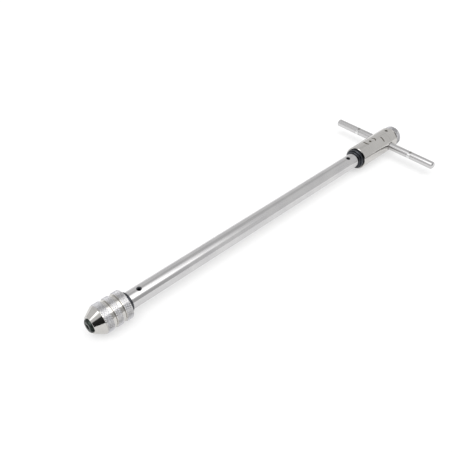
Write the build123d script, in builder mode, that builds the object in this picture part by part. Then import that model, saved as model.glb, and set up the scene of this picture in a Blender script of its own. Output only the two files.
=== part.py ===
from build123d import *
import os
from math import asin, cos, degrees, radians, sin

# A long tap wrench with a ratcheting cross handle. A two-jaw chuck grips the square of a tap, a tube
# carries the chuck, and a reversible ratchet in the head joins the tube to the sliding cross bar.
# The wrench lies along X with its chuck towards -X, its cross bar along Y, and +Z up. The origin is
# at the bottom centre of the box around it. Stations are distances along the axis from the nose of
# the chuck sleeve, rising towards the selector knob. All sizes are in millimetres.

# ---- chuck -----------------------------------------------------------------------------------
jaw_projection = 1.4  # how far the closed jaws stand out of the nose
sleeve_dia = 18.2
nose_dia = 11.0
nose_length = 5.9
first_band = 4.9  # knurled bands and the grooves between them, from the nose backwards
first_groove = 1.9
second_band = 4.1
second_groove = 2.0
third_band = 4.6
groove_depth = 1.0
groove_flank = 0.35
sleeve_edge = 0.5
jaw_exit_dia = 8.9  # the opening in the nose
jaw_taper = 0.32  # radius gained per length along the sleeve's inner cone
closing_cone = 6.0  # length of the inner cone
sleeve_travel = 4.0  # how far the sleeve screws forwards to open the jaws
thread_dia = 12.0
thread_front = 10.0  # station where the chuck body's thread begins
body_front = 4.2  # station of the chuck body's front face
prong_dia = 10.6
slot_width = 5.0
slot_bottom = 9.8
collar_dia = 12.4
collar_rear = 25.6
tap_bore_dia = 6.0
tap_bore_bottom = 24.0
jaw_face_gap = 0.5  # between the faces of the closed jaws
notch_half_diagonal = 1.75  # of the square that the closed jaws hold
notch_length = 8.5
jaw_spring_dia = 1.5
jaw_spring_wire = 0.22
jaw_spring_turns = 7
seal_width = 1.5
seal_section = 1.05

# ---- tube ------------------------------------------------------------------------------------
tube_dia = 11.0
tube_wall = 1.5
tube_length = 208.4
plug_length = 14.0  # how far the chuck body and the spindle reach into the tube
cross_pin_dia = 3.2
cross_pin_bore = 1.9
cross_pin_slot = 0.4
cross_pin_inset = 0.7  # each end lies below the tube's surface
cross_pin_setback = 7.7  # from each end of the tube
cross_pin_tilt = 7.5  # degrees from upright, towards -Y

# ---- head ------------------------------------------------------------------------------------
housing_dia = 17.2
housing_wall = 2.15
housing_length = 42.2
collar_out = 3.8  # how far the spindle's collar stands out of the housing
collar_lip = 1.2  # from the collar's edge out to the housing's surface
shoulder_step = 0.9  # the collar is this much smaller where it meets the tube
shoulder_length = 1.5
mouth_depth = 2.0
mouth_gap = 0.2
washer_thickness = 0.5
bush_wall = 1.4
bush_length = 7.0
circlip_width = 1.0
circlip_reach = 1.5  # how far the ring stands out of its groove
gear_teeth = 12
tooth_depth = 1.1
gear_length = 8.0
gap_root = 0.5  # width of a tooth gap at the root and at the tip
gap_tip = 1.5
pawl_height = 2.0
pawl_width = 3.0
pawl_length = 6.9
pawl_lift = 0.55  # from the half-engaged rest position to clear of the teeth, or fully home
pawl_foot = 0.4
pawl_point = 0.3  # width of the tip that enters the tooth gap
pawl_tail = 2.9
pawl_spring_dia = 1.2
pawl_spring_wire = 0.18
pawl_spring_turns = 4
cam_length = 2.4
pilot_setdown = 1.0
bar_setback = 33.7  # from the front of the housing to the cross bar
selector_swing = 25.0  # degrees either way
prong_half_angle = 15.0
web_length = 2.5
journal_inset = 0.6  # the journal ends this far inside the housing
detent_setback = 3.7  # behind the cross bar's axis
detent_ball_dia = 1.5
detent_hole_dia = 1.2  # smaller than the ball
detent_mouth_dia = 2.4  # the wider outer part of the hole
detent_mouth_depth = 1.3
detent_dimple = 0.4  # depth of the two dimples in the bore
detent_depth = 2.2
detent_spring_wire = 0.12
detent_spring_turns = 3
stop_pin_dia = 1.8
stop_pin_setback = 6.0
stop_pin_depth = 1.2  # into the selector's groove
key_pin_dia = 2.0
knob_dia = 15.6
knob_length = 5.1
knob_gap = 1.3  # between the housing and the knob
knob_edge = 0.9
neck_dia = 10.0
spigot_dia = 6.0
spigot_length = 4.2

# ---- cross bar -------------------------------------------------------------------------------
bar_dia = 5.7
bar_length = 88.4
bar_end_chamfer = 0.9
bar_shift = 2.0  # the bar rests this much towards -Y of the wrench's axis
crimp_place = 24.0  # from the bar's middle
crimp_length = 2.4
crimp_bulge = 0.35
crimp_dent = 0.65  # how deep the crimping punch goes, above and below
crimp_punch_r = 1.3
bar_hole_chamfer = 1.0  # where the bar's hole opens on each side of the housing

# ---- fits ------------------------------------------------------------------------------------
running = 0.05  # radial, for what turns or slides
sliding = 0.04  # each side, for flat guides
small_gap = 0.15
end_gap = 0.3
tooth_clearance = 0.08

# ---- worked out from the sizes above ---------------------------------------------------------
sleeve_r = sleeve_dia / 2
bands_start = nose_length
groove_one = bands_start + first_band
band_two = groove_one + first_groove
groove_two = band_two + second_band
band_three = groove_two + second_groove
sleeve_length = band_three + third_band
recess_start = band_three + 0.6
collar_front = recess_start + end_gap
collar_r = collar_dia / 2
thread_r = thread_dia / 2
relief_r = jaw_exit_dia / 2 + closing_cone * jaw_taper
relief_end = groove_one - 0.5
jaw_lift = sleeve_travel * jaw_taper
jaw_tip_r = jaw_exit_dia / 2 - running
jaw_cone_end = closing_cone - sleeve_travel
jaw_head_r = jaw_tip_r + jaw_cone_end * jaw_taper
jaw_tail_start = body_front - 0.2
jaw_step = relief_end - sleeve_travel - 0.1
jaw_tail_r = thread_r + running - jaw_lift - sliding
jaw_rear = slot_bottom - end_gap
jaw_spring_station = (notch_length - jaw_projection + jaw_rear) / 2
jaw_spring_reach = jaw_tail_r - 1.7

tube_r = tube_dia / 2
tube_bore_r = tube_r - tube_wall
tube_front = collar_rear
tube_rear = tube_front + tube_length
front_pin_station = tube_front + cross_pin_setback
rear_pin_station = tube_rear - cross_pin_setback
collar_step = tube_rear + shoulder_length

housing_r = housing_dia / 2
bore_r = housing_r - housing_wall
spindle_collar_r = housing_r - collar_lip
shoulder_r = spindle_collar_r - shoulder_step
housing_front = tube_rear + collar_out
housing_rear = housing_front + housing_length
mouth_bottom = housing_front + mouth_depth
washer_front = mouth_bottom - washer_thickness
bush_end = mouth_bottom + bush_length
pawl_top = ((bore_r - running) ** 2 - (pawl_width / 2) ** 2) ** 0.5 - pawl_lift
pawl_tip = pawl_top - pawl_height
gear_tip_r = pawl_tip + pawl_lift - tooth_clearance
gear_root_r = gear_tip_r - tooth_depth
journal_r = gear_tip_r + 0.45
bush_r = journal_r + running + bush_wall
groove_r = gear_tip_r - 0.5
circlip_front = bush_end + small_gap
gear_start = circlip_front + circlip_width + 0.9
gear_end = gear_start + gear_length
pilot_r = gear_root_r - pilot_setdown
carrier_start = gear_start - 0.1
carrier_end = gear_end
pawl_start = carrier_start + 1.1
pawl_end = pawl_start + pawl_length
cam_start = gear_end + 0.6
cam_end = cam_start + cam_length
cam_r = gear_tip_r + 0.4
cam_rise = pawl_lift / radians(selector_swing)
web_end = cam_end + web_length
bar_station = housing_front + bar_setback
bar_r = bar_dia / 2
bar_hole_r = bar_r + small_gap
selector_r = bore_r - running
prong_inner_r = (bar_r + small_gap) / cos(radians(selector_swing + prong_half_angle))
journal_front = bar_station + bar_r + end_gap
journal_rear = housing_rear - journal_inset
knob_front = housing_rear + knob_gap
knob_rear = knob_front + knob_length
detent_station = bar_station + detent_setback
detent_r = detent_ball_dia / 2
stop_pin_station = bar_station + stop_pin_setback

axis_y = bar_shift
axis_z = max(sleeve_dia, housing_dia) / 2
middle = (knob_rear - jaw_projection) / 2
spin_axis = Axis((0, axis_y, axis_z), (1, 0, 0))
side_plane = Plane(origin=(0, axis_y, axis_z), x_dir=(1, 0, 0), z_dir=(0, -1, 0))


def along(station):
    """The X of a station."""
    return station - middle


def cross_plane(station):
    """A plane square to the axis, its x along Y and its y along Z."""
    return Plane(origin=(along(station), axis_y, axis_z), x_dir=(0, 1, 0), z_dir=(1, 0, 0))


def radial_plane(station, angle, height=0.0):
    """A plane that faces away from the axis. Angle 0 faces +Y and 90 faces +Z."""
    out = Vector(0, cos(radians(angle)), sin(radians(angle)))
    foot = Vector(along(station), axis_y, axis_z) + out * height
    return Plane(origin=foot, x_dir=(1, 0, 0), z_dir=out)


def turned(points, mode=Mode.ADD):
    """Turn a profile of (station, radius) points about the wrench's axis."""
    with BuildSketch(side_plane) as profile:
        with BuildLine():
            Polyline([(along(s), r) for s, r in points], close=True)
        make_face()
    revolve(profile.sketch, axis=spin_axis, mode=mode)


def disc(start, end, radius, mode=Mode.ADD):
    """A round length of the axis."""
    with BuildSketch(cross_plane(start)) as profile:
        Circle(radius)
    extrude(profile.sketch, amount=end - start, mode=mode)


def radial_hole(station, angle, radius, low, high):
    """Drill square to the axis, from one distance to another."""
    with BuildSketch(radial_plane(station, angle, low)) as mouth:
        Circle(radius)
    extrude(mouth.sketch, amount=high - low, mode=Mode.SUBTRACT)


def sector(inner, outer, middle_angle, half_angle):
    """A piece of a ring in the current sketch."""
    start = middle_angle - half_angle
    with BuildLine() as outline:
        near = CenterArc((0, 0), inner, start, 2 * half_angle)
        far = CenterArc((0, 0), outer, start, 2 * half_angle)
        Line(near @ 0, far @ 0)
        Line(near @ 1, far @ 1)
    make_face(outline.edges())


def coil(station, low, high, diameter, wire, turns):
    """A compression spring that stands along Z, between two heights above the axis."""
    length = high - low - wire
    foot = (along(station), axis_y, axis_z + low + wire / 2)
    with BuildLine():
        path = Helix(pitch=length / turns, height=length, radius=(diameter - wire) / 2, center=foot)
    with BuildSketch(Plane(origin=path @ 0, z_dir=path % 0)) as section:
        Circle(wire / 2)
    sweep(section.sketch, path=path, is_frenet=True)


def roll_pin(station, depth):
    """A hollow slotted spring pin across the tube, square to its axis."""
    with BuildSketch(radial_plane(station, 90 + cross_pin_tilt, -depth)) as profile:
        Circle(cross_pin_dia / 2)
        Circle(cross_pin_bore / 2, mode=Mode.SUBTRACT)
        with Locations((cross_pin_dia / 2, 0)):
            Rectangle(cross_pin_dia, cross_pin_slot, mode=Mode.SUBTRACT)
    extrude(profile.sketch, amount=2 * depth)


def polar(radius, angle):
    return (radius * cos(radians(angle)), radius * sin(radians(angle)))


bar_plane = Plane(origin=(along(bar_station), 0, axis_z), x_dir=(0, 1, 0), z_dir=(1, 0, 0))
bar_axis = Axis((along(bar_station), 0, axis_z), (0, 1, 0))
os.makedirs("parts", exist_ok=True)

# ---- chuck sleeve: knurled grip bands outside, closing cone and thread inside --------------------
floor_r = sleeve_r - groove_depth
with BuildPart() as chuck_sleeve:
    turned([
        (0, jaw_exit_dia / 2),
        (0, nose_dia / 2),
        (nose_length, sleeve_r),
        (groove_one, sleeve_r),
        (groove_one + groove_flank, floor_r),
        (band_two - groove_flank, floor_r),
        (band_two, sleeve_r),
        (groove_two, sleeve_r),
        (groove_two + groove_flank, floor_r),
        (band_three - groove_flank, floor_r),
        (band_three, sleeve_r),
        (sleeve_length - sleeve_edge, sleeve_r),
        (sleeve_length, sleeve_r - sleeve_edge),
        (sleeve_length, collar_r + small_gap + seal_section),
        (recess_start, collar_r + small_gap + seal_section),
        (recess_start, thread_r + running),
        (relief_end, thread_r + running),
        (relief_end, relief_r),
        (closing_cone, relief_r),
    ])
chuck_sleeve.part.label = "chuck_sleeve"
export_step(chuck_sleeve.part, "parts/chuck_sleeve.step")

# ---- seal ring: carried in the sleeve's rear recess, wipes the chuck body's collar ----------------
seal_rear = sleeve_length - 0.5
with BuildPart() as sleeve_seal_ring:
    turned([
        (seal_rear - seal_width, collar_r + running),
        (seal_rear - seal_width, collar_r + small_gap + seal_section - running),
        (seal_rear, collar_r + small_gap + seal_section - running),
        (seal_rear, collar_r + running),
    ])
sleeve_seal_ring.part.label = "sleeve_seal_ring"
export_step(sleeve_seal_ring.part, "parts/sleeve_seal_ring.step")

# ---- chuck body: slotted front, thread for the sleeve, collar, and a shank in the tube ------------
with BuildPart() as chuck_body:
    turned([
        (body_front, 0),
        (body_front, prong_dia / 2 - 0.3),
        (body_front + 0.3, prong_dia / 2),
        (thread_front, prong_dia / 2),
        (thread_front + 0.5, thread_r),
        (collar_front, thread_r),
        (collar_front, collar_r),
        (collar_rear - 0.3, collar_r),
        (collar_rear, collar_r - 0.3),
        (collar_rear, tube_bore_r),
        (collar_rear + plug_length, tube_bore_r),
        (collar_rear + plug_length, 0),
    ])
    disc(body_front, tap_bore_bottom, tap_bore_dia / 2, mode=Mode.SUBTRACT)
    with BuildSketch(cross_plane(body_front)):
        Rectangle(slot_width, collar_dia)
    extrude(amount=slot_bottom - body_front, mode=Mode.SUBTRACT)
    radial_hole(front_pin_station, 90 + cross_pin_tilt, cross_pin_dia / 2, -tube_r, tube_r)
chuck_body.part.label = "chuck_body"
export_step(chuck_body.part, "parts/chuck_body.step")


def make_jaw(side):
    """Half of the jaw bundle: side is 1 above the axis and -1 below it."""
    with BuildPart() as jaw:
        turned([
            (-jaw_projection, 0),
            (-jaw_projection, jaw_tip_r - jaw_projection * jaw_taper - 0.5),
            (0.5 - jaw_projection, jaw_tip_r - (jaw_projection - 0.5) * jaw_taper),
            (jaw_cone_end, jaw_head_r),
            (jaw_step, jaw_head_r),
            (jaw_step, jaw_tail_r),
            (jaw_rear, jaw_tail_r),
            (jaw_rear, 0),
        ])
        with BuildSketch(cross_plane(jaw_tail_start)):
            Rectangle(3 * sleeve_dia, 3 * sleeve_dia)
            Rectangle(slot_width - 2 * sliding, 3 * sleeve_dia, mode=Mode.SUBTRACT)
        extrude(amount=sleeve_length, mode=Mode.SUBTRACT)
        with BuildSketch(cross_plane(-2 * jaw_projection)):
            with Locations((0, -side * sleeve_dia)):
                Rectangle(3 * sleeve_dia, 2 * sleeve_dia + jaw_face_gap)
        extrude(amount=2 * sleeve_length, mode=Mode.SUBTRACT)
        with BuildSketch(cross_plane(-2 * jaw_projection)):
            RegularPolygon(notch_half_diagonal, 4)
        extrude(amount=jaw_projection + notch_length, mode=Mode.SUBTRACT)
        radial_hole(jaw_spring_station, 90 * side, jaw_spring_dia / 2 + 0.1, -0.1, jaw_spring_reach)
    return jaw.part


# ---- jaws ------------------------------------------------------------------------------------
for jaw_name, jaw_side in (("jaw_upper", 1), ("jaw_lower", -1)):
    jaw_part = make_jaw(jaw_side)
    jaw_part.label = jaw_name
    export_step(jaw_part, f"parts/{jaw_name}.step")

# ---- jaw spring: spreads the jaws as the sleeve is unscrewed ---------------------------------------
with BuildPart() as jaw_spring:
    coil(
        jaw_spring_station,
        -jaw_spring_reach + running,
        jaw_spring_reach - running,
        jaw_spring_dia,
        jaw_spring_wire,
        jaw_spring_turns,
    )
jaw_spring.part.label = "jaw_spring"
export_step(jaw_spring.part, "parts/jaw_spring.step")

# ---- extension tube --------------------------------------------------------------------------
with BuildPart() as extension_tube:
    turned([
        (tube_front, tube_bore_r),
        (tube_front, tube_r - 0.3),
        (tube_front + 0.3, tube_r),
        (tube_rear - 0.3, tube_r),
        (tube_rear, tube_r - 0.3),
        (tube_rear, tube_bore_r),
    ])
    for pin_station in (front_pin_station, rear_pin_station):
        radial_hole(pin_station, 90 + cross_pin_tilt, cross_pin_dia / 2, -tube_dia, tube_dia)
extension_tube.part.label = "extension_tube"
export_step(extension_tube.part, "parts/extension_tube.step")

# ---- cross pins: one through each end of the tube ------------------------------------------------
with BuildPart() as front_cross_pin:
    roll_pin(front_pin_station, tube_r - cross_pin_inset)
front_cross_pin.part.label = "front_cross_pin"
export_step(front_cross_pin.part, "parts/front_cross_pin.step")

with BuildPart() as rear_cross_pin:
    roll_pin(rear_pin_station, tube_r - cross_pin_inset)
rear_cross_pin.part.label = "rear_cross_pin"
export_step(rear_cross_pin.part, "parts/rear_cross_pin.step")

# ---- ratchet spindle: shank in the tube, collar, journal, ring groove, ratchet teeth, pilot --------
half_root = 180 / gear_teeth - degrees(gap_root / 2 / gear_root_r)
half_tip = 180 / gear_teeth - degrees(gap_tip / 2 / gear_tip_r)
tooth_points = []
for tooth in range(gear_teeth):
    centre = 360 / gear_teeth * (tooth + 0.5)
    tooth_points.append(polar(gear_root_r, centre - half_root))
    tooth_points.append(polar(gear_tip_r, centre - half_tip))
    tooth_points.append(polar(gear_tip_r, centre + half_tip))
    tooth_points.append(polar(gear_root_r, centre + half_root))

with BuildPart() as ratchet_spindle:
    turned([
        (tube_rear - plug_length, 0),
        (tube_rear - plug_length, tube_bore_r),
        (tube_rear, tube_bore_r),
        (tube_rear, shoulder_r - 0.3),
        (tube_rear + 0.3, shoulder_r),
        (collar_step, shoulder_r),
        (collar_step, spindle_collar_r - 0.4),
        (collar_step + 0.4, spindle_collar_r),
        (washer_front - running, spindle_collar_r),
        (washer_front - running, journal_r),
        (bush_end + running, journal_r),
        (bush_end + running, groove_r),
        (circlip_front + circlip_width + running, groove_r),
        (circlip_front + circlip_width + running, gear_tip_r),
        (gear_start, gear_tip_r),
        (gear_start, gear_root_r - 0.2),
        (gear_end, gear_root_r - 0.2),
        (gear_end, pilot_r),
        (cam_end, pilot_r),
        (cam_end, 0),
    ])
    with BuildSketch(cross_plane(gear_start)):
        with BuildLine():
            Polyline(tooth_points, close=True)
        make_face()
    extrude(amount=gear_length)
    radial_hole(rear_pin_station, 90 + cross_pin_tilt, cross_pin_dia / 2, -tube_r, tube_r)
ratchet_spindle.part.label = "ratchet_spindle"
export_step(ratchet_spindle.part, "parts/ratchet_spindle.step")

# ---- circlip: holds the spindle in the housing ------------------------------------------------
with BuildPart() as spindle_circlip:
    with BuildSketch(cross_plane(circlip_front)):
        Circle(groove_r + circlip_reach + 0.3)
        Circle(groove_r, mode=Mode.SUBTRACT)
        with Locations((0, -journal_r)):
            Rectangle(1.6, journal_r * 2 - groove_r, mode=Mode.SUBTRACT)
    extrude(amount=circlip_width)
spindle_circlip.part.label = "spindle_circlip"
export_step(spindle_circlip.part, "parts/spindle_circlip.step")

# ---- thrust washer and front bush -----------------------------------------------------------------
with BuildPart() as thrust_washer:
    turned([
        (washer_front, journal_r + running),
        (washer_front, spindle_collar_r - 0.4),
        (mouth_bottom, spindle_collar_r - 0.4),
        (mouth_bottom, journal_r + running),
    ])
thrust_washer.part.label = "thrust_washer"
export_step(thrust_washer.part, "parts/thrust_washer.step")

with BuildPart() as front_bush:
    turned([
        (mouth_bottom, journal_r + running),
        (mouth_bottom, bush_r),
        (bush_end, bush_r),
        (bush_end, journal_r + running),
    ])
front_bush.part.label = "front_bush"
export_step(front_bush.part, "parts/front_bush.step")

# ---- ratchet housing --------------------------------------------------------------------------
mouth_r = spindle_collar_r + mouth_gap
key_station = (pawl_start + pawl_end) / 2
with BuildPart() as ratchet_housing:
    turned([
        (housing_front, mouth_r + 0.2),
        (housing_front, housing_r - 0.3),
        (housing_front + 0.3, housing_r),
        (housing_rear - 0.5, housing_r),
        (housing_rear, housing_r - 0.5),
        (housing_rear, bore_r + 0.3),
        (housing_rear - 0.3, bore_r),
        (bush_end, bore_r),
        (bush_end, bush_r),
        (mouth_bottom, bush_r),
        (mouth_bottom, mouth_r),
        (housing_front + 0.2, mouth_r),
    ])
    with BuildSketch(bar_plane) as bar_hole:
        with BuildLine():
            Polyline(
                [
                    (axis_y - housing_r - bar_hole_chamfer, 0),
                    (axis_y - housing_r - bar_hole_chamfer, bar_hole_r + 2 * bar_hole_chamfer),
                    (axis_y - housing_r + bar_hole_chamfer, bar_hole_r),
                    (axis_y + housing_r - bar_hole_chamfer, bar_hole_r),
                    (axis_y + housing_r + bar_hole_chamfer, bar_hole_r + 2 * bar_hole_chamfer),
                    (axis_y + housing_r + bar_hole_chamfer, 0),
                ],
                close=True,
            )
        make_face()
    revolve(bar_hole.sketch, axis=bar_axis, mode=Mode.SUBTRACT)
    radial_hole(detent_station, 90, detent_hole_dia / 2, 0, housing_dia)
    radial_hole(detent_station, 90, detent_mouth_dia / 2, housing_r - detent_mouth_depth, housing_dia)
    for dimple_angle in (90 - selector_swing, 90 + selector_swing):
        radial_hole(detent_station, dimple_angle, detent_hole_dia / 2, 0, bore_r + detent_dimple)
    radial_hole(stop_pin_station, 270, stop_pin_dia / 2, 0, housing_dia)
    radial_hole(key_station, 0, key_pin_dia / 2, 0, housing_dia)
ratchet_housing.part.label = "ratchet_housing"
export_step(ratchet_housing.part, "parts/ratchet_housing.step")

# ---- pawl carrier: a slotted ring pressed into the housing around the ratchet teeth ----------------
with BuildPart() as pawl_carrier:
    disc(carrier_start, carrier_end, bore_r)
    disc(carrier_start, carrier_end, gear_tip_r + small_gap, mode=Mode.SUBTRACT)
    with BuildSketch(cross_plane(pawl_start - 0.2)):
        Rectangle(pawl_width + 2 * sliding, 4 * bore_r)
    extrude(amount=housing_length, mode=Mode.SUBTRACT)
    radial_hole(key_station, 0, key_pin_dia / 2, 0, housing_dia)
pawl_carrier.part.label = "pawl_carrier"
export_step(pawl_carrier.part, "parts/pawl_carrier.step")

with BuildPart() as carrier_key_pin:
    with BuildSketch(radial_plane(key_station, 0, gear_tip_r + 2 * small_gap)):
        Circle(key_pin_dia / 2)
    extrude(amount=housing_r - 0.2 - gear_tip_r - 2 * small_gap)
carrier_key_pin.part.label = "carrier_key_pin"
export_step(carrier_key_pin.part, "parts/carrier_key_pin.step")


def make_pawl(side):
    """A sliding pawl: side is 1 above the axis and -1 below it. Its steep flank faces +Y above."""
    foot_z = cam_r + pawl_foot + 0.03
    shoulder = pawl_tip + tooth_depth
    with BuildPart() as pawl:
        with BuildSketch(cross_plane(pawl_start)):
            with BuildLine():
                Polyline(
                    [
                        (-pawl_point / 2 * side, pawl_tip * side),
                        (pawl_point / 2 * side, pawl_tip * side),
                        (0.35 * side, shoulder * side),
                        (pawl_width / 2 * side, shoulder * side),
                        (pawl_width / 2 * side, pawl_top * side),
                        (-pawl_width / 2 * side, pawl_top * side),
                        (-pawl_width / 2 * side, shoulder * side),
                        (-0.6 * side, shoulder * side),
                    ],
                    close=True,
                )
            make_face()
        extrude(amount=gear_end - pawl_start)
        with BuildSketch(cross_plane(gear_end)):
            with Locations((0, side * (foot_z + pawl_top) / 2)):
                Rectangle(2 * pawl_foot, pawl_top - foot_z)
            with Locations((0, side * foot_z)):
                Circle(pawl_foot)
        extrude(amount=pawl_tail)
        radial_hole(key_station, 90 * side, pawl_spring_dia / 2 + 0.1, shoulder + 0.3, housing_r)
    return pawl.part


# ---- pawls and their springs ---------------------------------------------------------------------
for pawl_name, pawl_side in (("pawl_upper", 1), ("pawl_lower", -1)):
    pawl_part = make_pawl(pawl_side)
    pawl_part.label = pawl_name
    export_step(pawl_part, f"parts/{pawl_name}.step")

pawl_spring_low = pawl_tip + tooth_depth + 0.3 + running
for spring_name, spring_side in (("pawl_spring_upper", 1), ("pawl_spring_lower", -1)):
    with BuildPart() as pawl_spring:
        coil(
            key_station,
            min(spring_side * pawl_spring_low, spring_side * (bore_r - running)),
            max(spring_side * pawl_spring_low, spring_side * (bore_r - running)),
            pawl_spring_dia,
            pawl_spring_wire,
            pawl_spring_turns,
        )
    pawl_spring.part.label = spring_name
    export_step(pawl_spring.part, f"parts/{spring_name}.step")

# ---- selector shaft: cam, web, two prongs around the cross bar, journal, neck and spigot ------------
cam_half = 38  # degrees of cam either side of each pawl
cam_points = []
for angle in range(90 - cam_half, 450 - cam_half, 2):
    if angle <= 90 + cam_half:
        reach = cam_r - cam_rise * radians(angle - 90)
    elif angle < 270 - cam_half:
        reach = cam_r - cam_rise * radians(cam_half)
    elif angle <= 270 + cam_half:
        reach = cam_r + cam_rise * radians(angle - 270)
    else:
        reach = cam_r + cam_rise * radians(cam_half)
    cam_points.append(polar(reach, angle))

with BuildPart() as selector_shaft:
    with BuildSketch(cross_plane(cam_start)):
        with BuildLine():
            Polyline(cam_points, close=True)
        make_face()
    extrude(amount=cam_length)
    disc(cam_end, web_end, selector_r)
    with BuildSketch(cross_plane(web_end)):
        sector(prong_inner_r, selector_r, 90, prong_half_angle)
        sector(prong_inner_r, selector_r, 270, prong_half_angle)
    extrude(amount=journal_front - web_end)
    disc(journal_front, journal_rear, selector_r)
    disc(journal_rear, knob_front, neck_dia / 2)
    disc(knob_front, knob_front + spigot_length, spigot_dia / 2)
    disc(cam_start, cam_end + small_gap, pilot_r + running, mode=Mode.SUBTRACT)
    radial_hole(detent_station, 90, detent_r + running, selector_r - detent_depth, bore_r)
    pin_half_angle = degrees(asin((stop_pin_dia / 2 + running) / (selector_r - stop_pin_depth)))
    with BuildSketch(cross_plane(stop_pin_station - stop_pin_dia / 2 - running)):
        sector(selector_r - stop_pin_depth - running, bore_r, 270, selector_swing + pin_half_angle + 1)
    extrude(amount=stop_pin_dia + 2 * running, mode=Mode.SUBTRACT)
selector_shaft.part.label = "selector_shaft"
export_step(selector_shaft.part, "parts/selector_shaft.step")

# ---- selector knob ------------------------------------------------------------------------------
knob_r = knob_dia / 2
with BuildPart() as selector_knob:
    turned([
        (knob_front, spigot_dia / 2),
        (knob_front, knob_r - knob_edge),
        (knob_front + knob_edge / 2, knob_r),
        (knob_rear - knob_edge / 2, knob_r),
        (knob_rear, knob_r - knob_edge),
        (knob_rear, 0),
        (knob_front + spigot_length, 0),
        (knob_front + spigot_length, spigot_dia / 2),
    ])
selector_knob.part.label = "selector_knob"
export_step(selector_knob.part, "parts/selector_knob.step")

# ---- detent: ball and spring in the selector's journal ---------------------------------------------
with BuildPart() as detent_ball:
    with Locations((along(detent_station), axis_y, axis_z + selector_r - detent_r)):
        Sphere(detent_r)
detent_ball.part.label = "detent_ball"
export_step(detent_ball.part, "parts/detent_ball.step")

with BuildPart() as detent_spring:
    coil(
        detent_station,
        selector_r - detent_depth,
        selector_r - 2 * detent_r,
        2 * (detent_r - small_gap),
        detent_spring_wire,
        detent_spring_turns,
    )
detent_spring.part.label = "detent_spring"
export_step(detent_spring.part, "parts/detent_spring.step")

# ---- stop pin: keeps the selector in the housing and limits its swing -------------------------------
with BuildPart() as stop_pin:
    with BuildSketch(radial_plane(stop_pin_station, 270, selector_r - stop_pin_depth)):
        Circle(stop_pin_dia / 2)
    extrude(amount=housing_r - 0.2 - selector_r + stop_pin_depth)
stop_pin.part.label = "stop_pin"
export_step(stop_pin.part, "parts/stop_pin.step")

# ---- cross bar: chamfered ends, and a crimp each side that stops it leaving the housing --------------
half_bar = bar_length / 2
bar_end_r = bar_r - bar_end_chamfer
with BuildPart() as cross_bar:
    with BuildSketch(bar_plane):
        with BuildLine():
            Polyline(
                [
                    (-half_bar, 0),
                    (-half_bar, bar_end_r),
                    (-half_bar + bar_end_chamfer, bar_r),
                    (half_bar - bar_end_chamfer, bar_r),
                    (half_bar, bar_end_r),
                    (half_bar, 0),
                ],
                close=True,
            )
        make_face()
    revolve(axis=bar_axis)
    for place in (-crimp_place, crimp_place):
        crimp_middle = (along(bar_station), place, axis_z)
        with BuildSketch(Plane(origin=crimp_middle, x_dir=(1, 0, 0), z_dir=(0, 1, 0))):
            Ellipse(bar_r + crimp_bulge, bar_r - 0.2)
        extrude(amount=crimp_length / 2, both=True)
        for face_side in (-1, 1):
            with BuildSketch(Plane(origin=crimp_middle, x_dir=(0, 1, 0), z_dir=(1, 0, 0))):
                with Locations((0, face_side * (bar_r - crimp_dent + crimp_punch_r))):
                    Circle(crimp_punch_r)
            extrude(amount=bar_dia, both=True, mode=Mode.SUBTRACT)
cross_bar.part.label = "cross_bar"
export_step(cross_bar.part, "parts/cross_bar.step")
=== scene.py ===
import bmesh
import bpy
import math
from mathutils import Matrix, Vector


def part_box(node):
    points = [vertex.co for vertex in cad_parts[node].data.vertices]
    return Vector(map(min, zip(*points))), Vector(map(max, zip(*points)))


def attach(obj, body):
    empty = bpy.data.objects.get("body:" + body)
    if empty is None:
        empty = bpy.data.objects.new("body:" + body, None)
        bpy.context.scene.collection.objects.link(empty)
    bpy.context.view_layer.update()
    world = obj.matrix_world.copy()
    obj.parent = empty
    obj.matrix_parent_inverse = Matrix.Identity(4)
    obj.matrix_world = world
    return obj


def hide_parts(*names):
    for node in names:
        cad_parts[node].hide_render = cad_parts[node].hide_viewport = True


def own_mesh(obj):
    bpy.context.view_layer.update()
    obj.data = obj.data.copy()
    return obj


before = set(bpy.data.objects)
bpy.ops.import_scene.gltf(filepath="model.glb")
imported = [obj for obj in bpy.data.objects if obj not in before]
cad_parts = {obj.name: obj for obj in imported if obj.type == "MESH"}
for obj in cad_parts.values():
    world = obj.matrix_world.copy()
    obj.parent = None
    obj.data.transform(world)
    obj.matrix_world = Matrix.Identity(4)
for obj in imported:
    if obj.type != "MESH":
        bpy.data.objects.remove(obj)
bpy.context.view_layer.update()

MM = 0.001

# The wrench lies along X, nose towards -X. Stations are millimetres along its axis from the nose of the
# chuck sleeve, and angles go round the axis from +Y (0) through +Z (90).
sleeve_low, sleeve_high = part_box("chuck_sleeve")
knob_low, knob_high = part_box("selector_knob")
housing_low, housing_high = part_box("ratchet_housing")
bar_low, bar_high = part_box("cross_bar")
nose_x = sleeve_low[0]
axis_y = (sleeve_low[1] + sleeve_high[1]) / 2
axis_z = (sleeve_low[2] + sleeve_high[2]) / 2
sleeve_r = (sleeve_high[2] - sleeve_low[2]) / 2 / MM
knob_r = (knob_high[2] - knob_low[2]) / 2 / MM
housing_r = (housing_high[2] - housing_low[2]) / 2 / MM
bar_r = (bar_high[2] - bar_low[2]) / 2 / MM
knob_front = (knob_low[0] - nose_x) / MM
knob_rear = (knob_high[0] - nose_x) / MM
sleeve_rear = (sleeve_high[0] - nose_x) / MM


def point(station, radius, angle):
    """The place of a station, radius and angle in degrees, in metres."""
    turn = math.radians(angle)
    return Vector((
        nose_x + station * MM,
        axis_y + radius * MM * math.cos(turn),
        axis_z + radius * MM * math.sin(turn),
    ))


def linear(hex_colour):
    """An sRGB hex colour as linear red, green, blue and alpha."""
    parts = [int(hex_colour[i:i + 2], 16) / 255 for i in (0, 2, 4)]
    return [c / 12.92 if c <= 0.04045 else ((c + 0.055) / 1.055) ** 2.4 for c in parts] + [1.0]


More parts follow.
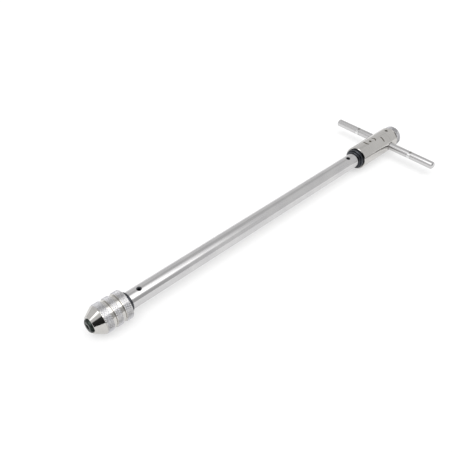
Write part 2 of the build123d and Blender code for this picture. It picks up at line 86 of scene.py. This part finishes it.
# ---- materials -----------------------------------------------------------------------------------
MATH = "ShaderNodeMath"
VECTOR_MATH = "ShaderNodeVectorMath"
RANGE = "ShaderNodeMapRange"
NOISE = "ShaderNodeTexNoise"


def add(tree, kind, inputs=(), output=0, **settings):
    """Add a node with its settings and give back one of its outputs.

    inputs are what its sockets take, in order or by name: values, or the outputs of other nodes.
    """
    node = tree.nodes.new(kind)
    for setting, value in settings.items():
        setattr(node, setting, value)
    for socket, value in inputs.items() if isinstance(inputs, dict) else enumerate(inputs):
        if isinstance(value, bpy.types.NodeSocket):
            tree.links.new(value, node.inputs[socket])
        else:
            node.inputs[socket].default_value = value
    return node.outputs[output]


def inside(tree, edges):
    """1 where all of the soft edges let through and 0 where one doesn't.

    Each edge is a value, where its change begins and ends, and what it goes from and to.
    """
    mask = 1.0
    for edge in edges:
        soft = add(tree, RANGE, edge, interpolation_type="SMOOTHSTEP")
        mask = add(tree, MATH, (mask, soft), operation="MULTIPLY")
    return mask


def turned_coordinates(tree):
    """Object coordinates as (along the axis, distance from the axis, height), in metres."""
    place = add(tree, "ShaderNodeTexCoord", output="Object")
    centred = add(tree, VECTOR_MATH, (place, (0.0, axis_y, axis_z)), operation="SUBTRACT")
    x, y, z = add(tree, "ShaderNodeSeparateXYZ", (centred,)).node.outputs
    crosswise = add(tree, "ShaderNodeCombineXYZ", (0.0, y, z))
    reach = add(tree, VECTOR_MATH, (crosswise,), "Value", operation="LENGTH")
    return add(tree, "ShaderNodeCombineXYZ", (x, reach, z))


def surface(name, metallic, colours, rough, spacing, turned=True, depth=0.0, patch_size=11.0):
    """A finish with fine tool lines and a broad faint mottle of two colours.

    spacing is how far apart the tool lines are along each coordinate, patch_size is the size of the
    mottle's patches and depth is the depth of the lines, all in millimetres. rough is the lowest and
    highest roughness. turned puts the lines round the wrench's axis.
    """
    material = bpy.data.materials.new(name)
    material.use_nodes = True
    tree = material.node_tree
    shader = tree.nodes["Principled BSDF"].inputs
    shader["Metallic"].default_value = metallic
    place = turned_coordinates(tree) if turned else add(tree, "ShaderNodeTexCoord", output="Object")
    spread = add(tree, "ShaderNodeMapping", {"Vector": place, "Scale": [1 / (gap * MM) for gap in spacing]})
    lines = add(tree, NOISE, {"Vector": spread, "Scale": 1.0, "Detail": 2.0})
    mottle = add(tree, NOISE, {"Vector": place, "Scale": 1 / (patch_size * MM), "Detail": 4.0})
    total = add(tree, MATH, (lines, mottle), operation="ADD")
    mean = add(tree, MATH, (total, 0.5), operation="MULTIPLY")
    shade = add(tree, RANGE, (mean, 0.35, 0.65), interpolation_type="SMOOTHSTEP")
    light, dark = (linear(colour) for colour in colours)
    colour = add(tree, "ShaderNodeMix", {0: shade, 6: light, 7: dark}, 2, data_type="RGBA")
    tree.links.new(colour, shader["Base Color"])
    dullness = add(tree, RANGE, (mean, 0.3, 0.7, *rough), interpolation_type="SMOOTHSTEP")
    tree.links.new(dullness, shader["Roughness"])
    if depth:
        relief = add(tree, "ShaderNodeBump", {"Height": lines, "Strength": 1.0, "Distance": depth * MM})
        tree.links.new(relief, shader["Normal"])
    return material


def paint_crimp_shade_and_highlight(material):
    """Darken a bar's finish in the hollows of its two crimps as painted shade, and lighten it on their ears
    as a painted highlight.
    """
    crimp_place = 24.0  # from the bar's middle
    tree = material.node_tree
    base = tree.nodes["Principled BSDF"].inputs["Base Color"]
    middle = [(low + high) / 2 for low, high in zip(bar_low, bar_high)]
    place = add(tree, "ShaderNodeTexCoord", output="Object")
    centred = add(tree, VECTOR_MATH, (place, middle), operation="SUBTRACT")
    away = add(tree, VECTOR_MATH, (centred, [1 / MM] * 3), operation="MULTIPLY")
    x, y, z = add(tree, "ShaderNodeSeparateXYZ", (away,)).node.outputs
    crosswise = add(tree, "ShaderNodeCombineXYZ", (x, 0.0, z))
    reach = add(tree, VECTOR_MATH, (crosswise,), "Value", operation="LENGTH")
    along = add(tree, MATH, (y,), operation="ABSOLUTE")
    off = add(tree, MATH, (along, crimp_place), operation="SUBTRACT")
    near = (add(tree, MATH, (off,), operation="ABSOLUTE"), 1.2, 1.6, 1.0, 0.0)
    hollow = (reach, bar_r - 0.4, bar_r - 0.08, 1.0, 0.0)
    ear = (reach, bar_r + 0.05, bar_r + 0.2)
    finish = base.links[0].from_socket
    # Painted shade in the hollows and a painted highlight on the ears, mixed into the base colour.
    for edge, painted_tone in ((hollow, "918F8B"), (ear, "E3E3E3")):
        painted_mix = {0: inside(tree, (edge, near)), 6: finish, 7: linear(painted_tone)}
        finish = add(tree, "ShaderNodeMix", painted_mix, 2, data_type="RGBA")
    tree.links.new(finish, base)


# Bright nickel plate on drawn steel tube: mirror-like, with hair lines left by drawing and polishing
# along the tube. The real lines are under 0.05 mm apart; they are drawn about 0.15 mm apart.
plate = ("CFCECE", "C5C4C5")
plate_rough = (0.08, 0.18)
drawn_nickel = surface(
    "drawn_nickel", 1.0, plate, plate_rough, (40.0, 0.15, 0.15), turned=False, depth=0.004)
# The same on the cross bar, whose hair lines run along it. Its crimps get painted shade in their
# hollows and a painted highlight on their raised ears.
bar_nickel = surface(
    "bar_nickel", 1.0, plate, plate_rough, (0.15, 40.0, 0.15), turned=False, depth=0.004)
paint_crimp_shade_and_highlight(bar_nickel)
# Bright nickel plate on turned steel: rings left by the lathe's feed, a little duller and warmer. The
# real rings are about 0.05 mm apart; they are drawn about 0.2 mm apart.
turned_nickel = surface(
    "turned_nickel", 1.0, ("CCCAC7", "C1BFBC"), (0.06, 0.13), (0.19, 0.19, 80.0), depth=0.002)
# The same plate over the knurling: crushed crests catch the light, so it is rougher.
knurled_nickel = surface(
    "knurled_nickel", 1.0, ("D6D6D9", "C2C2C6"), (0.27, 0.4), [0.56] * 3, turned=False, patch_size=1.4)
# The same plate on the knob's knurling, rougher still, and darker as painted shade.
painted_shade_knurled_nickel = surface(
    "painted_shade_knurled_nickel", 1.0, ("ACACAF", "98989C"), (0.4, 0.55), [0.56] * 3, turned=False, patch_size=1.4)
# Oiled black oxide on hardened steel: near black with a soft blue-grey sheen over turning marks that are
# drawn about 0.24 mm apart, coarser than the real 0.1 mm.
black_oxide = surface(
    "black_oxide", 1.0, ("54565A", "393B40"), (0.24, 0.38), (0.24, 0.24, 67.0), depth=0.003)
# The jaws' oxide holds more oil and is ground: darker, faintly green.
jaw_oxide = surface(
    "jaw_oxide", 1.0, ("393F3C", "222725"), (0.3, 0.45), (0.33, 0.33, 3.3), turned=False, depth=0.004)
# Plain hardened spring steel: mid grey, drawn, with a mottle coarser than the real grain.
spring_steel = surface("spring_steel", 1.0, ("A9A9AB", "8C8C90"), (0.22, 0.34), [0.4] * 3, turned=False)
# Oil-filled sintered bronze: matt, speckled with pores that are drawn about 0.2 mm across, coarser than
# the real ones.
sintered_bronze = surface(
    "sintered_bronze", 1.0, ("B58A5A", "8A6238"), (0.4, 0.6), [0.2] * 3,
    turned=False, depth=0.01, patch_size=0.67)
# Moulded nitrile rubber: black, soft sheen.
nitrile = surface("nitrile_rubber", 0.0, ("1E1E1F", "121213"), (0.45, 0.6), [1.1] * 3, turned=False)
# Laser-etched marking in the plate: a dull brown-grey film.
etched = surface("etched_mark", 1.0, ("6A6458", "4A463E"), (0.45, 0.6), [0.25] * 3, turned=False)

finishes = {
    "chuck_body": black_oxide,
    "ratchet_spindle": black_oxide,
    "jaw_upper": jaw_oxide,
    "jaw_lower": jaw_oxide,
    "front_cross_pin": black_oxide,
    "rear_cross_pin": black_oxide,
    "pawl_carrier": black_oxide,
    "pawl_upper": black_oxide,
    "pawl_lower": black_oxide,
    "front_bush": sintered_bronze,
    "sleeve_seal_ring": nitrile,
    "extension_tube": drawn_nickel,
    "cross_bar": bar_nickel,
    "ratchet_housing": turned_nickel,
    "selector_shaft": turned_nickel,
    "carrier_key_pin": turned_nickel,
    "stop_pin": turned_nickel,
}
for name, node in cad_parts.items():
    node.data.materials.clear()
    node.data.materials.append(finishes.get(name, spring_steel))


# ---- building helpers ------------------------------------------------------------------------------
def put(name, data):
    """A new object in the scene, at the origin."""
    item = bpy.data.objects.new(name, data)
    bpy.context.scene.collection.objects.link(item)
    return item


def make_object(name, verts, faces, material, smooth=False):
    mesh = bpy.data.meshes.new(name)
    mesh.from_pydata(verts, [], faces)
    mesh.materials.append(material)
    mesh.polygons.foreach_set("use_smooth", [smooth] * len(mesh.polygons))
    mesh.update()
    return put(name, mesh)


def close_up(mesh):
    """Merge a mesh's doubled corners and turn its faces outwards."""
    work = bmesh.new()
    work.from_mesh(mesh)
    bmesh.ops.remove_doubles(work, verts=work.verts, dist=0.001 * MM)
    bmesh.ops.recalc_face_normals(work, faces=work.faces)
    work.to_mesh(mesh)
    work.free()


def turned_piece(name, profile, material, steps=128):
    """A closed ring or plug turned from (station, radius) points that run round its section.

    A point of radius 0 becomes one pole.
    """
    verts = []
    rings = []
    for station, radius in profile:
        if radius == 0:
            rings.append([len(verts)] * steps)
            verts.append(point(station, 0, 0))
        else:
            rings.append(list(range(len(verts), len(verts) + steps)))
            verts.extend(point(station, radius, 360 * k / steps) for k in range(steps))
    faces = []
    for here, there in zip(rings, rings[1:] + rings[:1]):
        for k in range(steps):
            corners = (here[k], here[(k + 1) % steps], there[(k + 1) % steps], there[k])
            face = list(dict.fromkeys(corners))
            if len(face) > 2:
                faces.append(face)
    item = make_object(name, verts, faces, material, smooth=True)
    item.data.set_sharp_from_angle(angle=math.radians(12))
    return item


# ---- knurling: small pyramids set round a band in staggered rows -------------------------------------
knurl_pitch = 1.3  # a little coarser than the real one, so that it shows
knurl_depth = 0.3
crushed_crest = 0.25  # width of a diamond's flat top, as a share of its foot
knurl_root = 0.12  # how far each diamond reaches into the band


def stud_mesh():
    """One knurl diamond with a crushed crest, base at the origin, pointing along +Z."""
    half = knurl_pitch / 2 * MM
    foot = -knurl_root * MM
    crest = knurl_depth * MM
    base = [(half, 0), (0, half), (-half, 0), (0, -half)]
    verts = [(x, y, foot) for x, y in base]
    verts += [(x * crushed_crest, y * crushed_crest, crest) for x, y in base]
    faces = [(3, 2, 1, 0), (4, 5, 6, 7)] + [(k, (k + 1) % 4, 4 + (k + 1) % 4, 4 + k) for k in range(4)]
    mesh = bpy.data.meshes.new("knurl_stud")
    mesh.from_pydata(verts, [], faces)
    return mesh


def knurl_tree():
    """Geometry nodes: studs on a cylinder about the wrench's axis, in rows half a pitch apart."""
    tree = bpy.data.node_groups.new("knurl", "GeometryNodeTree")
    face = tree.interface
    face.new_socket("Geometry", in_out="INPUT", socket_type="NodeSocketGeometry")
    for label, kind in (
        ("Stud", "NodeSocketObject"),
        ("Around", "NodeSocketInt"),
        ("Rows", "NodeSocketInt"),
        ("Start", "NodeSocketFloat"),
        ("Row Step", "NodeSocketFloat"),
        ("Radius", "NodeSocketFloat"),
        ("Material", "NodeSocketMaterial"),
    ):
        face.new_socket(label, in_out="INPUT", socket_type=kind)
    face.new_socket("Geometry", in_out="OUTPUT", socket_type="NodeSocketGeometry")
    ins = add(tree, "NodeGroupInput").node.outputs
    index = add(tree, "GeometryNodeInputIndex")
    laps = add(tree, MATH, (index, ins["Around"]), operation="DIVIDE")
    row = add(tree, MATH, (laps,), operation="FLOOR")
    column = add(tree, MATH, (index, ins["Around"]), operation="MODULO")
    odd_row = add(tree, MATH, (row, 2.0), operation="MODULO")
    place = add(tree, MATH, (odd_row, 0.5, column), operation="MULTIPLY_ADD")
    share = add(tree, MATH, (place, ins["Around"]), operation="DIVIDE")
    turn = add(tree, MATH, (share, math.tau), operation="MULTIPLY")
    along = add(tree, MATH, (row, ins["Row Step"], ins["Start"]), operation="MULTIPLY_ADD")
    aside = add(tree, MATH, (turn,), operation="SINE")
    sideways = add(tree, MATH, (aside, ins["Radius"]), operation="MULTIPLY")
    across = add(tree, MATH, (axis_y, sideways), operation="SUBTRACT")
    upright = add(tree, MATH, (turn,), operation="COSINE")
    up = add(tree, MATH, (upright, ins["Radius"], axis_z), operation="MULTIPLY_ADD")
    total = add(tree, MATH, (ins["Around"], ins["Rows"]), operation="MULTIPLY")
    centres = add(tree, "ShaderNodeCombineXYZ", (along, across, up))
    dots = add(tree, "GeometryNodePoints", {"Count": total, "Position": centres})
    lean = add(tree, "ShaderNodeCombineXYZ", (turn,))
    shape = add(tree, "GeometryNodeObjectInfo", {"Object": ins["Stud"]}, "Geometry")
    studs = add(tree, "GeometryNodeInstanceOnPoints", {"Points": dots, "Instance": shape, "Rotation": lean})
    real = add(tree, "GeometryNodeRealizeInstances", {"Geometry": studs})
    painted = add(tree, "GeometryNodeSetMaterial", {"Geometry": real, "Material": ins["Material"]})
    tree.links.new(painted, tree.nodes.new("NodeGroupOutput").inputs[0])
    return tree


stud = bpy.data.objects.new("knurl_stud", stud_mesh())
knurl = knurl_tree()


def knurl_band(name, start, end, outer, material):
    """Studs between two stations, their crests at the outer radius."""
    margin = knurl_pitch / 2
    rows = max(2, round((end - start) / margin) - 1)
    step = (end - start - 2 * margin) / (rows - 1)
    settings = {
        "Stud": stud,
        "Around": round(math.tau * outer / knurl_pitch),
        "Rows": rows,
        "Start": nose_x + (start + margin) * MM,
        "Row Step": step * MM,
        "Radius": (outer - knurl_depth) * MM,
        "Material": material,
    }
    shell = put(name + "_source", bpy.data.meshes.new(name + "_source"))
    modifier = shell.modifiers.new("knurl", "NODES")
    modifier.node_group = knurl
    for socket in knurl.interface.items_tree:
        if socket.in_out == "INPUT" and socket.name in settings:
            modifier[socket.identifier] = settings[socket.name]
    depsgraph = bpy.context.evaluated_depsgraph_get()
    mesh = bpy.data.meshes.new_from_object(shell.evaluated_get(depsgraph))
    mesh.name = name
    bpy.data.objects.remove(shell)
    return put(name, mesh)


# ---- chuck sleeve ------------------------------------------------------------------------------------
band_edges = ((5.9, 10.8), (12.7, 16.8), (18.8, sleeve_rear))  # the three knurled bands
nose_r = 5.5
nose_bore_r = 4.45
nose_break = 0.15  # its broken edges
nose_lead = 0.12
cone_foot = 0.2  # from the widest of the outer cone back to the first band
cone_foot_drop = 0.1
floor_r = sleeve_r - 1.0  # in the two grooves
core_r = sleeve_r - knurl_depth
flank = 0.3  # the slope at each side of a groove
rear_bevel = 0.4
rear_drop = 0.7
thread_r = 6.05
thread_front = 10.3
cone_end_r = 6.37  # where the cone that closes the jaws is widest
cone_end = 6.0
recess_r = 7.4  # the recess for the seal ring
recess_front = 19.4
sleeve_profile = [
    (nose_break, nose_bore_r),
    (0.0, nose_bore_r + nose_break),
    (0.0, nose_r - nose_break),
    (nose_lead, nose_r),
    (band_edges[0][0] - cone_foot, sleeve_r - cone_foot_drop),
    (band_edges[0][0], core_r),
]
for (_, groove_start), (groove_end, _) in zip(band_edges, band_edges[1:]):
    sleeve_profile += [
        (groove_start, core_r),
        (groove_start + flank, floor_r),
        (groove_end - flank, floor_r),
        (groove_end, core_r),
    ]
sleeve_profile += [
    (sleeve_rear - rear_bevel, core_r),
    (sleeve_rear, sleeve_r - rear_drop),
    (sleeve_rear, recess_r),
    (recess_front, recess_r),
    (recess_front, thread_r),
    (thread_front, thread_r),
    (thread_front, cone_end_r),
    (cone_end, cone_end_r),
]
sleeve_core = turned_piece("sleeve_core", sleeve_profile, turned_nickel)
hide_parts("chuck_sleeve")
sleeve_parts = [sleeve_core]
for number, (start, end) in enumerate(band_edges):
    band = knurl_band("sleeve_knurl_" + str(number + 1), start, end, sleeve_r, knurled_nickel)
    sleeve_parts.append(band)

# ---- selector knob -----------------------------------------------------------------------------------
rim_r = knob_r - knurl_depth
knob_bevel = 0.45
face_r = knob_r - 0.9  # of the knob's two flat faces
socket_r = 3.0  # the blind hole that takes the selector's spigot
socket_depth = 4.2
dimple_r = 2.2  # the lathe centre's dimple in the end face
dimple_floor_r = 1.6
dimple_depth = 0.5
band_inset = 0.4  # from the knob's faces in to its knurling
knob_profile = [
    (knob_front, socket_r),
    (knob_front, face_r),
    (knob_front + knob_bevel, rim_r),
    (knob_rear - knob_bevel, rim_r),
    (knob_rear, face_r),
    (knob_rear, dimple_r),
    (knob_rear - dimple_depth, dimple_floor_r),
    (knob_rear - dimple_depth, 0),
    (knob_front + socket_depth, 0),
    (knob_front + socket_depth, socket_r),
]
knob_core = turned_piece("knob_core", knob_profile, turned_nickel)
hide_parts("selector_knob")
# The knob's knurling takes the darker copy of the knurled plate; its darkness is painted shade.
knob_knurl = knurl_band(
    "knob_knurl", knob_front + band_inset, knob_rear - band_inset, knob_r, painted_shade_knurled_nickel)
knob_parts = [knob_core, knob_knurl]

# ---- generic etched marks on the housing: two arcs, a dot and a witness line --------------------------
mark_bottom = housing_r - 0.03
mark_top = housing_r + 0.012  # far thicker than a real etch, so that it shows
arc_steps = 16
dot_steps = 12
dot_station = 253.4
dot_angle = 93
dot_sweep = 7  # from its middle to each end, in degrees
dot_end = 0.05  # half of its width at its ends


def etched_stroke(strip):
    """Verts and faces of a closed strip on the housing.

    strip holds the strip's cuts: low station, high station and angle.
    """
    verts = []
    for low, high, angle in strip:
        for station, radius in ((low, mark_bottom), (high, mark_bottom), (high, mark_top), (low, mark_top)):
            verts.append(point(station, radius, angle))
    last = 4 * (len(strip) - 1)
    faces = [(0, 1, 2, 3), (last + 3, last + 2, last + 1, last)]
    for here in range(0, last, 4):
        for j in range(4):
            after = (j + 1) % 4
            faces.append((here + j, here + 4 + j, here + 4 + after, here + after))
    return verts, faces


strokes = []
# Each arc or line: its station, its two end angles, how far its middle bows along the axis, its width.
for centre, low_angle, high_angle, bow, width in (
    (249.4, 72, 104, -0.8, 1.1),
    (257.9, 80, 107, 1.0, 1.1),
    (264.7, 104, 135, 0.0, 0.95),
):
    strip = []
    for k in range(arc_steps + 1):
        share = k / arc_steps
        station = centre + bow * (1 - (2 * share - 1) ** 2)
        angle = low_angle + (high_angle - low_angle) * share
        strip.append((station - width / 2, station + width / 2, angle))
    strokes.append(etched_stroke(strip))
dot = []
for k in range(dot_steps + 1):
    turn = math.pi * k / dot_steps
    half = dot_end + math.sin(turn)
    dot.append((dot_station - half, dot_station + half, dot_angle - dot_sweep * math.cos(turn)))
strokes.append(etched_stroke(dot))
mark_verts = []
mark_faces = []
for verts, faces in strokes:
    mark_faces += [tuple(len(mark_verts) + i for i in face) for face in faces]
    mark_verts += verts
marks = make_object("etched_marks", mark_verts, mark_faces, etched)
close_up(marks.data)

for piece in sleeve_parts:
    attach(piece, "sleeve")
for piece in knob_parts:
    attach(piece, "selector")
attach(marks, "head")


def pressed_spring(node_name):
    """A copy of a pawl's spring, with its doubled corners merged, put in place of the part.
    """
    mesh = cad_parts[node_name].data.copy()
    close_up(mesh)
    coil = put(node_name + "_coil", mesh)
    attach(coil, "head")
    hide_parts(node_name)
    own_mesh(coil)


pressed_spring("pawl_spring_upper")
pressed_spring("pawl_spring_lower")

# ---- detent ball ---------------------------------------------------------------------------------------
ball_low, ball_high = (Vector(corner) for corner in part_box("detent_ball"))
ball_mesh = bpy.data.meshes.new("detent_ball_polished")
work = bmesh.new()
bmesh.ops.create_uvsphere(work, u_segments=32, v_segments=16, radius=(ball_high[0] - ball_low[0]) / 2,
                          matrix=Matrix.Translation((ball_low + ball_high) / 2))
work.to_mesh(ball_mesh)
work.free()
ball_mesh.materials.append(spring_steel)
ball_mesh.polygons.foreach_set("use_smooth", [True] * len(ball_mesh.polygons))
ball = put("detent_ball_polished", ball_mesh)
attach(ball, "selector")
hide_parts("detent_ball")

# ---- stage: floor, light and camera -----------------------------------------------------------------
# A white acrylic sheet lit from below, so that shadows on it stay faint.
span = 6.0
floor_glow = 0.56
acrylic = surface(
    "pale_floor", 0.0, ("AAAAAA", "A6A6A6"), (0.85, 0.95), [330.0] * 3, turned=False, patch_size=500.0)
sheet = acrylic.node_tree.nodes["Principled BSDF"].inputs
sheet["Emission Color"].default_value = linear("FFFFFF")
sheet["Emission Strength"].default_value = floor_glow
corners = [(-span, -span, 0), (span, -span, 0), (span, span, 0), (-span, span, 0)]
floor = make_object("floor", corners, [(0, 1, 2, 3)], acrylic)

# The studio around the wrench, by direction: an even pale ceiling and walls, one softbox overhead, a
# darker panel low on the -Y side, a duller corner of the ceiling and a black flag in front of the nose.
wall_glow = 0.792
softbox_glow = 2.09
panel_shade = 0.286
corner_shade = 0.154
flag_shade = 0.96
horizon = 0.001  # the least height, so that nothing is divided by zero
world = bpy.data.worlds.new("studio")
bpy.context.scene.world = world
world.use_nodes = True
sky = world.node_tree
direction = add(sky, "ShaderNodeTexCoord", output="Generated")
ahead, left, up = add(sky, "ShaderNodeSeparateXYZ", (direction,)).node.outputs
swing = add(sky, MATH, (up, left), operation="ARCTAN2")
swing = add(sky, MATH, (swing, 180 / math.pi), operation="MULTIPLY")
above = add(sky, MATH, (up, horizon), operation="MAXIMUM")
over_x = add(sky, MATH, (ahead, above), operation="DIVIDE")
over_y = add(sky, MATH, (left, above), operation="DIVIDE")
box_across = add(sky, MATH, (over_y, 0.38, over_x), operation="MULTIPLY_ADD")
box_along = add(sky, MATH, (over_x, 0.25, over_y), operation="MULTIPLY_ADD")


def patch(toward, inner, outer):
    """1 within the inner angle of a direction, falling to 0 at the outer one."""
    pair = (direction, Vector(toward).normalized())
    facing = add(sky, VECTOR_MATH, pair, "Value", operation="DOT_PRODUCT")
    return inside(sky, ((facing, math.cos(math.radians(outer)), math.cos(math.radians(inner))),))


softbox = inside(sky, (
    (box_across, -0.95, -0.75),
    (box_across, 0.0, 0.62, 1.0, 0.0),
    (box_along, 0.18, 0.4, 1.0, 0.0),
    (over_y, -1.05, -0.75),
))
panel = inside(sky, ((swing, 140.0, 147.0), (ahead, 0.36, 0.5, 1.0, 0.0)))
dull_corner = patch((0.5, 0.32, 0.8), 12, 22)
flag = patch((-0.72, -0.6, 0.3), 23, 30)
glow = wall_glow
for mask, strength in ((softbox, softbox_glow), (panel, -panel_shade), (dull_corner, -corner_shade)):
    glow = add(sky, MATH, (mask, strength, glow), operation="MULTIPLY_ADD")
unflagged = add(sky, MATH, (flag, -flag_shade, 1.0), operation="MULTIPLY_ADD")
glow = add(sky, MATH, (glow, unflagged), operation="MULTIPLY")
# Seen past the edge of the floor, the room is plain white.
seen = add(sky, "ShaderNodeLightPath", output="Is Camera Ray")
glow = add(sky, "ShaderNodeMix", {0: seen, 2: glow, 3: 1.0}, data_type="FLOAT")
backdrop = sky.nodes["Background"].inputs
backdrop["Color"].default_value = linear("FFFFFF")
sky.links.new(glow, backdrop["Strength"])

camera_data = bpy.data.cameras.new("camera")
camera = put("camera", camera_data)
bpy.context.scene.camera = camera
camera_data.sensor_width = 36
camera_data.lens = 45.37
azimuth = math.radians(-43.37)
elevation = math.radians(40.39)
from_nose = (-0.0840, -0.1968, 0.2419)  # in metres
forward = Vector((
    -math.sin(azimuth) * math.cos(elevation),
    math.cos(azimuth) * math.cos(elevation),
    -math.sin(elevation),
))
camera.location = Vector((nose_x, axis_y, axis_z)) + Vector(from_nose)
camera.rotation_euler = forward.to_track_quat("-Z", "Y").to_euler()
bpy.context.scene.view_settings.view_transform = "Standard"
